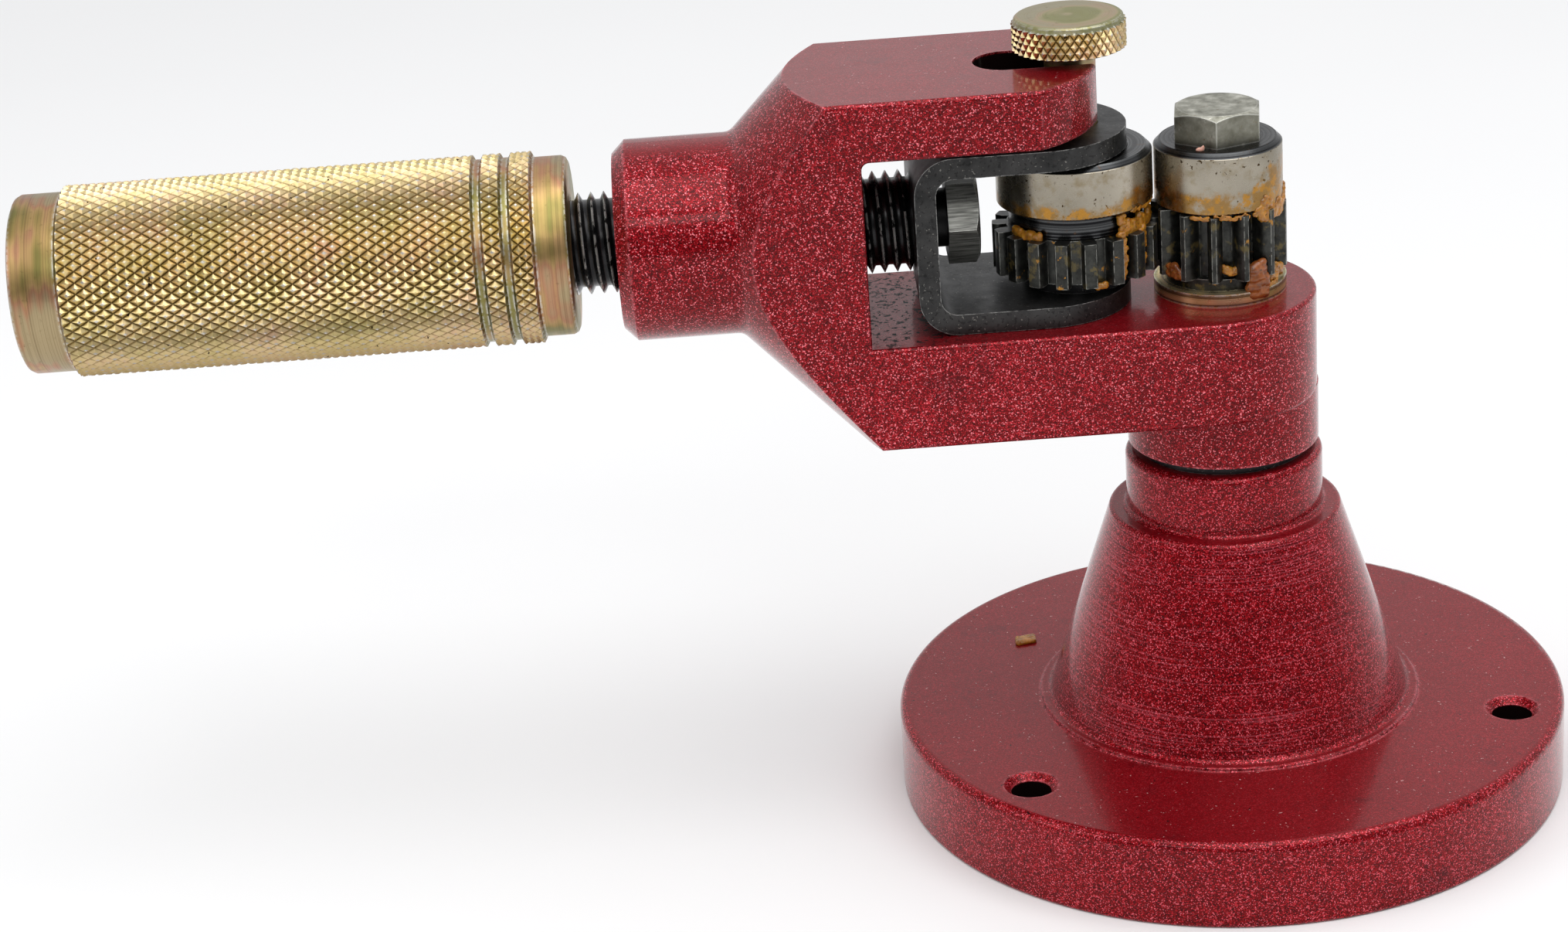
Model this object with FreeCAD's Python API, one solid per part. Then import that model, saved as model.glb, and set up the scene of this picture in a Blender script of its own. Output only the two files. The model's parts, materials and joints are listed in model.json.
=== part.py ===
import FreeCAD, Part
import math
import os

from FreeCAD import Vector

# Hand-cranked rolling head on a bolt-down pedestal, in millimetres.
# The pedestal carries an upright spindle with a fixed gear and a fixed roller. A C-shaped arm swings
# round the spindle. A yoke slides in the arm's window with a geared pressure roller, and a feed screw
# with a long knurled grip pushes the yoke. The origin is the centre of the pedestal's underside,
# Z is the spindle's axis, and the arm and its grip point along -X.

# pedestal
flange_radius = 54.5
flange_height = 14.5
flange_round = 1.5
foot_radius = 31.0
foot_height = 0.6
foot_round = 0.3
base_edge_round = 0.6
cone_foot_radius = 29.3
cone_top_radius = 18.5
cone_top_height = 48.0
cone_foot_fillet = 1.0
shoulder_round = 0.8
collar_radius = 15.75
collar_height = 10.0
collar_round = 1.2
fixing_circle_diameter = 93.0
fixing_count = 3
fixing_first_angle = 100.0
fixing_hole_radius = 3.2
fixing_sink_radius = 4.3
nut_recess_radius = 16.0
nut_recess_depth = 12.0
spindle_seat_height = 24.0

# spindle and what it carries
journal_radius = 8.0
spindle_thread_radius = 6.0
spindle_end_height = 2.0
stub_radius = 5.5
key_width = 4.0
key_length = 16.0
key_inset = 2.0
gear_key_width = 2.0
gear_key_length = 8.0
gear_key_inset = 0.6
gear_key_sink = 0.2
thrust_washer_radius = 13.5
thrust_washer_thickness = 1.6
spindle_washer_radius = 12.0
spindle_washer_thickness = 2.5
spindle_nut_across_flats = 19.0
spindle_nut_height = 6.0
spacer_radius = 10.4
spacer_height = 2.1
neck_radius = 8.6
neck_height = 1.9

# arm
arm_width = 36.0
lower_arm_thickness = 16.8
upper_arm_thickness = 9.3
window_headroom = 1.4
window_corner_round = 1.2
slide_room = 7.8
arm_boss_radius = 15.2
arm_boss_height = 8.4
lower_end_radius = 18.0
lower_end_centre_x = -3.0
upper_end_radius = 21.0
upper_end_reach = 4.1
nose_radius = 15.75
nose_length = 18.4
nose_chamfer = 2.0
nose_cone_length = 19.6
nose_seam_fillet = 2.0
arm_edge_round = 0.7
slot_side_room = 1.25
slot_travel = 9.75
bush_wall = 2.0
bush_length = 8.0
screw_axis_rise = 0.4

# gears and rollers
gear_module = 1.4
dedendum_share = 1.25
pressure_angle = 20.0
fixed_teeth = 13
fixed_addendum = 1.5
fixed_gear_width = 10.6
fixed_tooth_turn = 5.58
fixed_roller_rise = 0.9
fixed_roller_height = 10.1
fixed_roller_relief = 0.3
roller_chamfer = 0.9
roller_edge_round = 0.2
roller_step = 0.2
roller_bolt_turn = -99.0
pressure_teeth = 18
pressure_addendum = 0.5
pressure_gear_width = 7.15
pressure_hub_step = 1.7
pressure_hub_height = 3.75
pressure_roller_drop = 0.4
pressure_roller_height = 8.3
roller_gap = 0.3
pressure_bush_wall = 1.5
dowel_radius = 1.25
dowel_wall = 1.45
dowel_length = 9.0

# yoke
yoke_side_room = 0.9
yoke_end_reach = 8.3
yoke_thickness = 3.3
yoke_bend_radius = 6.0
yoke_float = 0.1
roller_washer_radius = 8.5
upper_washer_thickness = 0.3
bolt_head_room = 2.2

# axle pin with its thumb knob
pin_radius = 4.0
knob_radius = 8.85
knob_height = 5.3
knob_chamfer = 0.6
knob_lift = 1.3
knob_roof = 1.6
pin_inset = 0.1

# feed screw and grip
screw_radius = 8.0
screw_pitch = 2.0
screw_thread_depth = 1.2
screw_shank_radius = 6.0
screw_gap_to_grip = 7.0
grip_collar_radius = 14.0
grip_knurl_radius = 15.0
grip_groove_radius = 14.3
grip_collar_length = 5.4
grip_first_rib = 3.8
grip_second_rib = 3.35
grip_groove = 0.95
grip_knurl_length = 64.15
grip_end_length = 7.45
grip_round = 1.0
rib_round = 0.2
grip_wall_at_end = 4.0
set_screw_radius = 2.0
set_screw_length = 8.0
set_screw_sink = 1.0
set_screw_socket = 2.0

# metric hex bolts of 8 mm thread
bolt_radius = 4.0
bolt_across_flats = 13.0
bolt_head_height = 5.0
roller_bolt_depth = 10.0
retaining_bolt_play = 2.1
retaining_bolt_depth = 16.0
retaining_shoulder_radius = 4.6
hex_flat_share = 0.96
hex_chamfer_angle = 30.0
end_chamfer = 0.8
bolt_grip_gap = 0.5

# clearances
running_fit = 0.04
thread_fit = 0.05
loose_fit = 0.3
seat_fit = 0.02

# radii that follow from the gears and the pin
fixed_pitch_radius = gear_module * fixed_teeth / 2
pressure_pitch_radius = gear_module * pressure_teeth / 2
fixed_root_radius = fixed_pitch_radius - dedendum_share * gear_module
pressure_root_radius = pressure_pitch_radius - dedendum_share * gear_module
fixed_tip_radius = fixed_pitch_radius + fixed_addendum
pressure_tip_radius = pressure_pitch_radius + pressure_addendum
fixed_roller_radius = fixed_pitch_radius + fixed_roller_rise
pressure_roller_radius = pressure_pitch_radius - pressure_roller_drop
pressure_hub_radius = pressure_roller_radius - pressure_hub_step
pressure_bore_radius = pin_radius + pressure_bush_wall
dowel_circle_radius = pressure_bore_radius + dowel_wall + dowel_radius
bush_radius = journal_radius + bush_wall
slot_width = 2 * (pin_radius + slot_side_room)
yoke_width = 2 * (pressure_tip_radius + yoke_side_room)

# levels, from the pedestal upwards
collar_top = cone_top_height + collar_height
boss_bottom = collar_top + thrust_washer_thickness
lower_arm_bottom = boss_bottom + arm_boss_height
lower_arm_top = lower_arm_bottom + lower_arm_thickness
spacer_top = lower_arm_top + spacer_height
teeth_bottom = spacer_top + neck_height
fixed_gear_top = teeth_bottom + fixed_gear_width
fixed_roller_top = fixed_gear_top + fixed_roller_height
pressure_roller_top = fixed_roller_top + roller_step
pressure_tyre_bottom = pressure_roller_top - pressure_roller_height
pressure_gear_top = pressure_tyre_bottom - pressure_hub_height
pressure_gear_bottom = pressure_gear_top - pressure_gear_width
yoke_bottom = lower_arm_top + yoke_float
yoke_floor = yoke_bottom + yoke_thickness
yoke_roof = pressure_roller_top + upper_washer_thickness
yoke_top = yoke_roof + yoke_thickness
upper_arm_bottom = yoke_top + window_headroom
upper_arm_top = upper_arm_bottom + upper_arm_thickness
screw_height = (yoke_bottom + yoke_top) / 2 + screw_axis_rise
knob_bottom = upper_arm_top + knob_lift
knob_top = knob_bottom + knob_height

# places along the arm, from the spindle outwards
pressure_axis_x = -(fixed_roller_radius + pressure_roller_radius + roller_gap)
upper_end_centre_x = pressure_axis_x + upper_end_reach - upper_end_radius
yoke_end_centre_x = pressure_axis_x + yoke_end_reach - yoke_width / 2
bolt_seat_x = pressure_axis_x - (pressure_tip_radius + bolt_head_room + bolt_head_height)
yoke_back_x = bolt_seat_x - retaining_bolt_play - yoke_thickness
slot_end_x = pressure_axis_x - slot_width / 2 - slot_travel
window_wall_x = yoke_back_x - slide_room
nose_seam_x = window_wall_x - nose_cone_length
nose_end_x = nose_seam_x - nose_length
grip_start_x = nose_end_x - screw_gap_to_grip

UP = Vector(0, 0, 1)
ALONG = Vector(1, 0, 0)


def upright(point):
    """Places a (radius, height) point in the plane through the spindle's axis."""
    return Vector(point.x, 0, point.y)


def along_screw(point):
    """Places an (x, radius) point in the plane above the feed screw's axis."""
    return Vector(point.x, 0, screw_height + point.y)


def side_view(point):
    return Vector(point.x, 0, point.y)


def outline(corners, place):
    """Closed wire through (u, v, radius) corners, each rounded by its own radius."""
    stops = []
    for index, (u, v, radius) in enumerate(corners):
        corner = Vector(u, v, 0)
        before = Vector(*corners[index - 1][:2], 0) - corner
        after = Vector(*corners[(index + 1) % len(corners)][:2], 0) - corner
        if radius == 0:
            stops.append((corner, None, corner))
            continue
        half_angle = before.getAngle(after) / 2
        before.normalize()
        after.normalize()
        inward = (before + after).normalize()
        crown = corner + inward * (radius / math.sin(half_angle) - radius)
        reach = radius / math.tan(half_angle)
        stops.append((corner + before * reach, crown, corner + after * reach))
    edges = []
    for index, (start, crown, end) in enumerate(stops):
        if crown:
            edges.append(Part.Arc(place(start), place(crown), place(end)).toShape())
        next_start = stops[(index + 1) % len(stops)][0]
        if end.distanceToPoint(next_start) > 1e-6:
            edges.append(Part.makeLine(place(end), place(next_start)))
    return Part.Wire(edges)


def turned(corners):
    """Solid of revolution about the spindle's axis, from (radius, height, rounding) corners."""
    return Part.Face(outline(corners, upright)).revolve(Vector(0, 0, 0), UP, 360)


def turned_on_screw(corners):
    """Solid of revolution about the feed screw's axis, from (x, radius, rounding) corners."""
    return Part.Face(outline(corners, along_screw)).revolve(Vector(0, 0, screw_height), ALONG, 360)


def drum(radius, bottom, top, x=0.0):
    return Part.makeCylinder(radius, top - bottom, Vector(x, 0, bottom), UP)


def ring(outer, inner, bottom, top, x=0.0):
    return drum(outer, bottom, top, x).cut(drum(inner, bottom, top, x))


def screw_drum(radius, start_x, end_x):
    return Part.makeCylinder(radius, end_x - start_x, Vector(start_x, 0, screw_height), ALONG)


def block(x_range, y_range, z_range):
    size = [high - low for low, high in (x_range, y_range, z_range)]
    return Part.makeBox(*size, Vector(x_range[0], y_range[0], z_range[0]))


def rounded_end(centre_x, radius, start_x, width, bottom, top):
    """Plate along X whose far end is an arc about centre_x, cut to its width."""
    straight = block((start_x, centre_x), (-width / 2, width / 2), (bottom, top))
    strip = block((start_x, centre_x + radius), (-width / 2, width / 2), (bottom, top))
    return straight.fuse(drum(radius, bottom, top, centre_x).common(strip)).removeSplitter()


def hexagon(across_flats, height, turn=0.0):
    """Upright hexagonal prism, its upper corners turned off by the chamfer angle."""
    corner_radius = across_flats / math.sqrt(3)
    angles = [math.radians(turn + 60 * side) for side in range(6)]
    points = [Vector(corner_radius * math.cos(a), corner_radius * math.sin(a), 0) for a in angles]
    prism = Part.Face(Part.makePolygon(points + points[:1])).extrude(Vector(0, 0, height))
    flat_radius = across_flats / 2 * hex_flat_share
    rise = (corner_radius - flat_radius) * math.tan(math.radians(hex_chamfer_angle))
    turned_top = turned([
        (0, 0, 0), (corner_radius, 0, 0), (corner_radius, height - rise, 0), (flat_radius, height, 0),
        (0, height, 0),
    ])
    return prism.common(turned_top)


def hex_bolt(shank_length, turn=0.0):
    """Bolt standing on its head's underside at Z = 0, with its shank downwards."""
    head = hexagon(bolt_across_flats, bolt_head_height, turn)
    shank_radius = bolt_radius - seat_fit
    shank = turned([
        (0, -shank_length, 0), (shank_radius - end_chamfer, -shank_length, 0),
        (shank_radius, -shank_length + end_chamfer, 0), (shank_radius, 0, 0), (0, 0, 0),
    ])
    return head.fuse(shank).removeSplitter()


def involute_angle(radius, base_radius):
    """Polar angle, in radians, that an involute has turned through at a radius."""
    tangent = math.sqrt(max(radius ** 2 / base_radius ** 2 - 1, 0))
    return tangent - math.atan(tangent)


def gear(teeth, root_radius, tip_radius, first_tooth, bottom, top, x=0.0):
    """Spur gear; first_tooth is the polar angle, in degrees, of one tooth's middle."""
    pitch_radius = gear_module * teeth / 2
    base_radius = pitch_radius * math.cos(math.radians(pressure_angle))
    at_pitch = involute_angle(pitch_radius, base_radius)
    half_tooth = math.pi / (2 * teeth)

    def flank_point(radius, side, middle):
        half_width = half_tooth + at_pitch - involute_angle(max(radius, base_radius), base_radius)
        angle = middle + side * half_width
        return Vector(x + radius * math.cos(angle), radius * math.sin(angle), bottom)

    def arc_between(start, end):
        radius = math.hypot(start.x - x, start.y)
        centre = Vector(x, 0, bottom)
        crown = centre + ((start + end) * 0.5 - centre).normalize() * radius
        return Part.Arc(start, crown, end).toShape()

    edges = []
    flank_radii = [root_radius, (root_radius + tip_radius) / 2, tip_radius]
    for tooth in range(teeth):
        middle = math.radians(first_tooth) + 2 * math.pi * tooth / teeth
        next_middle = middle + 2 * math.pi / teeth
        rising = [flank_point(radius, -1, middle) for radius in flank_radii]
        falling = [flank_point(radius, 1, middle) for radius in reversed(flank_radii)]
        edges.append(Part.Arc(*rising).toShape())
        edges.append(arc_between(rising[-1], falling[0]))
        edges.append(Part.Arc(*falling).toShape())
        edges.append(arc_between(falling[-1], flank_point(root_radius, -1, next_middle)))
    return Part.Face(Part.Wire(edges)).extrude(Vector(0, 0, top - bottom))


def make_base_pedestal():
    foot_top = flange_height + foot_height
    body = turned([
        (nut_recess_radius, 0, 0), (flange_radius, 0, base_edge_round),
        (flange_radius, flange_height, flange_round), (foot_radius, flange_height, foot_round),
        (foot_radius, foot_top, foot_round), (cone_foot_radius, foot_top, cone_foot_fillet),
        (cone_top_radius, cone_top_height, shoulder_round),
        (collar_radius, cone_top_height, shoulder_round), (collar_radius, collar_top, collar_round),
        (journal_radius, collar_top, 0), (journal_radius, spindle_seat_height, 0),
        (spindle_thread_radius + loose_fit, spindle_seat_height, 0),
        (spindle_thread_radius + loose_fit, nut_recess_depth, 0), (nut_recess_radius, nut_recess_depth, 0),
    ])
    sink_depth = fixing_sink_radius - fixing_hole_radius
    for number in range(fixing_count):
        angle = math.radians(fixing_first_angle + 360 / fixing_count * number)
        middle = Vector(math.cos(angle), math.sin(angle), 0) * (fixing_circle_diameter / 2)
        hole = Part.makeCylinder(fixing_hole_radius, flange_height, middle)
        sink = Part.makeCone(fixing_hole_radius, fixing_sink_radius, sink_depth,
                             middle + Vector(0, 0, flange_height - sink_depth))
        body = body.cut(hole).cut(sink)
    return body.cut(spindle_key_shape())


def spindle_key_shape():
    bottom = spindle_seat_height + key_inset
    return block((journal_radius - key_width / 2, journal_radius + key_width / 2),
                 (-key_width / 2, key_width / 2), (bottom, bottom + key_length))


def gear_key_shape():
    bottom = teeth_bottom + gear_key_inset
    half = gear_key_width / 2
    middle_x = stub_radius - gear_key_sink
    return block((middle_x - half, middle_x + half), (-half, half),
                 (bottom, bottom + gear_key_length))


def make_spindle():
    top = fixed_roller_top - bolt_grip_gap
    journal = journal_radius - running_fit
    thread = spindle_thread_radius - seat_fit
    seat = journal_radius - seat_fit
    stub = stub_radius - seat_fit
    body = turned([
        (0, spindle_end_height, 0), (thread - end_chamfer, spindle_end_height, 0),
        (thread, spindle_end_height + end_chamfer, 0), (thread, spindle_seat_height, 0),
        (seat, spindle_seat_height, 0), (seat, collar_top, 0), (journal, collar_top, 0),
        (journal, lower_arm_top, 0), (stub, lower_arm_top, 0), (stub, top, 0), (0, top, 0),
    ])
    tapped = drum(bolt_radius, fixed_roller_top - roller_bolt_depth - end_chamfer, top)
    return body.cut(tapped).cut(spindle_key_shape()).cut(gear_key_shape())


def make_fixed_gear():
    toothed = gear(fixed_teeth, fixed_root_radius, fixed_tip_radius, 180 - fixed_tooth_turn,
                   teeth_bottom, fixed_gear_top)
    body = toothed.fuse(drum(neck_radius, spacer_top, teeth_bottom))
    return body.cut(drum(stub_radius, spacer_top, fixed_gear_top)).cut(gear_key_shape())


def make_fixed_roller():
    return turned([
        (stub_radius, fixed_gear_top, 0), (neck_radius, fixed_gear_top, 0),
        (neck_radius, fixed_gear_top + fixed_roller_relief, 0),
        (fixed_roller_radius, fixed_gear_top + fixed_roller_relief, roller_edge_round),
        (fixed_roller_radius, fixed_roller_top - roller_chamfer, 0),
        (fixed_roller_radius - roller_chamfer, fixed_roller_top, 0), (stub_radius, fixed_roller_top, 0),
    ])


def make_roller_bolt():
    bolt = hex_bolt(roller_bolt_depth, roller_bolt_turn)
    bolt.translate(Vector(0, 0, fixed_roller_top))
    return bolt


def make_spindle_nut():
    top = nut_recess_depth - spindle_washer_thickness
    nut = hexagon(spindle_nut_across_flats, spindle_nut_height)
    nut.rotate(Vector(0, 0, 0), ALONG, 180)
    nut.translate(Vector(0, 0, top))
    return nut.cut(drum(spindle_thread_radius, top - spindle_nut_height, top))


def make_arm_frame():
    half = arm_width / 2
    wall = block((nose_end_x, window_wall_x), (-half, half), (lower_arm_bottom, upper_arm_top))
    lower = rounded_end(lower_end_centre_x, lower_end_radius, window_wall_x, arm_width,
                        lower_arm_bottom, lower_arm_top)
    upper = rounded_end(upper_end_centre_x, upper_end_radius, window_wall_x, arm_width,
                        upper_arm_bottom, upper_arm_top)
    far_x = lower_end_centre_x + lower_end_radius + nose_radius
    cone_radius = math.hypot(half, screw_height - lower_arm_bottom) + nose_seam_fillet
    cone_end_x = nose_seam_x + cone_radius - nose_radius
    turned_nose = turned_on_screw([
        (nose_end_x, 0, 0), (nose_end_x, nose_radius - nose_chamfer, 0),
        (nose_end_x + nose_chamfer, nose_radius, 0), (nose_seam_x, nose_radius, nose_seam_fillet),
        (cone_end_x, cone_radius, 0), (far_x, cone_radius, 0), (far_x, 0, 0),
    ])
    body = wall.fuse([lower, upper]).removeSplitter().common(turned_nose)
    inner = [edge for edge in body.Edges if is_window_corner(edge)]
    body = body.makeFillet(window_corner_round, inner)
    rims = [edge for edge in body.Edges if is_arm_rim(edge)]
    body = body.makeFillet(arm_edge_round, rims)
    body = body.fuse(drum(arm_boss_radius, boss_bottom, lower_arm_bottom + arm_edge_round))
    slot_centre_x = slot_end_x + slot_width / 2
    slot = block((slot_centre_x, far_x), (-slot_width / 2, slot_width / 2),
                 (upper_arm_bottom, upper_arm_top))
    slot = slot.fuse(drum(slot_width / 2, upper_arm_bottom, upper_arm_top, slot_centre_x))
    bore = screw_drum(screw_radius + thread_fit, nose_end_x, window_wall_x)
    return body.cut([slot, bore, drum(bush_radius, boss_bottom, lower_arm_top)])


def is_window_corner(edge):
    box = edge.BoundBox
    at_wall = abs(box.XMin - window_wall_x) < 0.01 and box.XLength < 0.01 and box.ZLength < 0.01
    return at_wall and abs(box.ZMin - upper_arm_bottom) < 0.01


def is_arm_rim(edge):
    """Edges round the arm's flat top and bottom faces that reach past the window's wall."""
    box = edge.BoundBox
    levels = (lower_arm_bottom, lower_arm_top, upper_arm_bottom, upper_arm_top)
    level = any(abs(box.ZMin - height) < 0.01 for height in levels)
    past_wall = box.XMax > window_wall_x + nose_seam_fillet and box.XLength > arm_edge_round
    return level and box.ZLength < 0.01 and past_wall


def make_yoke():
    x_end = yoke_end_centre_x + yoke_width / 2
    inner_bend = yoke_bend_radius - yoke_thickness
    inner_x = yoke_back_x + yoke_thickness
    side = outline([
        (x_end, yoke_bottom, 0), (yoke_back_x, yoke_bottom, yoke_bend_radius),
        (yoke_back_x, yoke_top, yoke_bend_radius), (x_end, yoke_top, 0), (x_end, yoke_roof, 0),
        (inner_x, yoke_roof, inner_bend), (inner_x, yoke_floor, inner_bend), (x_end, yoke_floor, 0),
    ], side_view)
    bent = Part.Face(side).extrude(Vector(0, yoke_width, 0))
    bent.translate(Vector(0, -yoke_width / 2, 0))
    plan = rounded_end(yoke_end_centre_x, yoke_width / 2, yoke_back_x, yoke_width, yoke_bottom, yoke_top)
    body = bent.common(plan)
    upper_hole = drum(pin_radius + thread_fit, yoke_roof, yoke_top, pressure_axis_x)
    lower_hole = drum(pin_radius, yoke_bottom, yoke_floor, pressure_axis_x)
    bolt_hole = screw_drum(retaining_shoulder_radius + loose_fit, yoke_back_x, inner_x)
    return body.cut([upper_hole, lower_hole, bolt_hole])


def make_pressure_gear():
    meshing_gap = fixed_tooth_turn * fixed_teeth / pressure_teeth
    first_tooth = meshing_gap + 180 / pressure_teeth
    toothed = gear(pressure_teeth, pressure_root_radius, pressure_tip_radius, first_tooth,
                   pressure_gear_bottom, pressure_gear_top, pressure_axis_x)
    bore = drum(pressure_bore_radius, pressure_gear_bottom, pressure_gear_top, pressure_axis_x)
    return toothed.cut([bore, dowels_shape()])


def make_pressure_roller():
    chamfer_bottom = pressure_roller_top - roller_chamfer
    body = turned([
        (pressure_bore_radius, pressure_gear_top, 0), (pressure_hub_radius, pressure_gear_top, 0),
        (pressure_hub_radius, pressure_tyre_bottom, roller_edge_round),
        (pressure_roller_radius, pressure_tyre_bottom, roller_edge_round),
        (pressure_roller_radius, chamfer_bottom, 0),
        (pressure_roller_radius - roller_chamfer, pressure_roller_top, 0),
        (pressure_bore_radius, pressure_roller_top, 0),
    ])
    body.translate(Vector(pressure_axis_x, 0, 0))
    return body.cut(dowels_shape())


def dowels_shape():
    bottom = pressure_gear_top - dowel_length / 2
    pins = []
    for side in (-1, 1):
        place = Vector(pressure_axis_x, side * dowel_circle_radius, bottom)
        pins.append(Part.makeCylinder(dowel_radius, dowel_length, place))
    return Part.makeCompound(pins)


def make_axle_pin():
    return drum(pin_radius - running_fit, yoke_bottom + pin_inset, knob_top - knob_roof, pressure_axis_x)


def make_thumb_knob():
    body = turned([
        (0, knob_bottom, 0), (knob_radius - knob_chamfer, knob_bottom, 0),
        (knob_radius, knob_bottom + knob_chamfer, 0), (knob_radius, knob_top - knob_chamfer, 0),
        (knob_radius - knob_chamfer, knob_top, 0), (0, knob_top, 0),
    ])
    body.translate(Vector(pressure_axis_x, 0, 0))
    return body.cut(drum(pin_radius - running_fit, knob_bottom, knob_top - knob_roof, pressure_axis_x))


def make_feed_screw():
    """Screw whose thread is drawn as rings, one pitch apart, with a plain shank for the grip."""
    shank_end_x = grip_end_x() + grip_wall_at_end
    root_radius = screw_radius - screw_thread_depth
    corners = [(shank_end_x, 0, 0), (shank_end_x, screw_shank_radius, 0),
               (grip_start_x, screw_shank_radius, 0), (grip_start_x, root_radius, 0)]
    ring_profile = [(0.30, root_radius), (0.60, screw_radius), (0.72, screw_radius), (1.0, root_radius)]
    rings = int((yoke_back_x - grip_start_x - end_chamfer) / screw_pitch)
    for number in range(rings):
        start_x = grip_start_x + screw_pitch * number
        for share, radius in ring_profile:
            corners.append((start_x + share * screw_pitch, radius, 0))
    corners += [(yoke_back_x, root_radius, 0), (yoke_back_x, 0, 0)]
    body = turned_on_screw(corners)
    tapped = screw_drum(bolt_radius, yoke_back_x - retaining_bolt_depth - end_chamfer, yoke_back_x)
    return body.cut([tapped, set_screw_shape()])


def grip_end_x():
    return grip_start_x - (grip_collar_length + grip_first_rib + grip_second_rib + 2 * grip_groove
                           + grip_knurl_length + grip_end_length)


def make_handle_grip():
    """Grip with a smooth collar at each end, two short knurled ribs and a long knurled barrel."""
    groove = (grip_groove, grip_groove_radius, 0)
    bands = [
        (grip_collar_length, grip_collar_radius, grip_round),
        (grip_first_rib, grip_knurl_radius, rib_round), groove,
        (grip_second_rib, grip_knurl_radius, rib_round), groove,
        (grip_knurl_length, grip_knurl_radius, rib_round),
        (grip_end_length, grip_collar_radius, grip_round),
    ]
    corners = [(grip_start_x, 0, 0)]
    right_x = grip_start_x
    for length, radius, rounding in bands:
        outward = radius == grip_knurl_radius
        left_x = right_x - length
        right_round = rounding if outward or right_x == grip_start_x else 0
        left_round = rounding if outward or left_x < grip_end_x() + rib_round else 0
        corners += [(right_x, radius, right_round), (left_x, radius, left_round)]
        right_x = left_x
    corners.append((right_x, 0, 0))
    body = turned_on_screw(corners)
    bore = screw_drum(screw_shank_radius, grip_end_x() + grip_wall_at_end, grip_start_x)
    return body.cut([bore, set_screw_shape()])


def set_screw_shape(head_room=set_screw_sink):
    """Grub screw from the back of the grip's right collar into the shank, with room above its head."""
    tip_y = grip_collar_radius - set_screw_sink - set_screw_length
    place = Vector(grip_start_x - grip_collar_length / 2, tip_y, screw_height)
    return Part.makeCylinder(set_screw_radius, set_screw_length + head_room, place, Vector(0, 1, 0))


def make_set_screw():
    screw = set_screw_shape(head_room=0)
    head_y = grip_collar_radius - set_screw_sink
    socket = hexagon(set_screw_socket, set_screw_socket)
    socket.rotate(Vector(0, 0, 0), ALONG, 90)
    socket.translate(Vector(grip_start_x - grip_collar_length / 2, head_y, screw_height))
    return screw.cut(socket)


def make_retaining_bolt():
    """Shoulder bolt: its shoulder clamps on the screw's end and the yoke floats on it."""
    shoulder_length = yoke_thickness + retaining_bolt_play
    bolt = hex_bolt(retaining_bolt_depth + shoulder_length, 30)
    bolt = bolt.fuse(drum(retaining_shoulder_radius, -shoulder_length, 0)).removeSplitter()
    bolt.rotate(Vector(0, 0, 0), Vector(0, 1, 0), 90)
    bolt.translate(Vector(bolt_seat_x, 0, screw_height))
    return bolt


def bush(bottom):
    return ring(bush_radius, journal_radius, bottom, bottom + bush_length)


washer_top = nut_recess_depth
pieces = {
    "base_pedestal": make_base_pedestal(),
    "spindle": make_spindle(),
    "spindle_key": spindle_key_shape(),
    "spindle_washer": ring(spindle_washer_radius, spindle_thread_radius + loose_fit,
                           washer_top - spindle_washer_thickness, washer_top),
    "spindle_nut": make_spindle_nut(),
    "thrust_washer": ring(thrust_washer_radius, journal_radius + loose_fit, collar_top, boss_bottom),
    "spacer_collar": ring(spacer_radius, stub_radius, lower_arm_top, spacer_top),
    "fixed_gear": make_fixed_gear(),
    "fixed_roller": make_fixed_roller(),
    "gear_key": gear_key_shape(),
    "roller_bolt": make_roller_bolt(),
    "arm_frame": make_arm_frame(),
    "upper_bush": bush(lower_arm_top - bush_length),
    "lower_bush": bush(boss_bottom),
    "yoke": make_yoke(),
    "lower_roller_washer": ring(roller_washer_radius, pin_radius + loose_fit, yoke_floor,
                                pressure_gear_bottom, pressure_axis_x),
    "upper_roller_washer": ring(roller_washer_radius, pin_radius + loose_fit, pressure_roller_top,
                                yoke_roof, pressure_axis_x),
    "pressure_gear": make_pressure_gear(),
    "pressure_roller": make_pressure_roller(),
    "pressure_bush": ring(pressure_bore_radius, pin_radius, pressure_gear_bottom, pressure_roller_top,
                          pressure_axis_x),
    "roller_dowels": dowels_shape(),
    "axle_pin": make_axle_pin(),
    "thumb_knob": make_thumb_knob(),
    "feed_screw": make_feed_screw(),
    "handle_grip": make_handle_grip(),
    "grip_set_screw": make_set_screw(),
    "retaining_bolt": make_retaining_bolt(),
}

os.makedirs("parts", exist_ok=True)
for name, shape in pieces.items():
    shape.exportStep("parts/" + name + ".step")
    print(name, len(shape.Solids), "valid" if shape.isValid() else "INVALID", round(shape.Volume, 1))
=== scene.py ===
import json
import math
import random

import bmesh
import bpy
from mathutils import Matrix, Vector, noise


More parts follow.
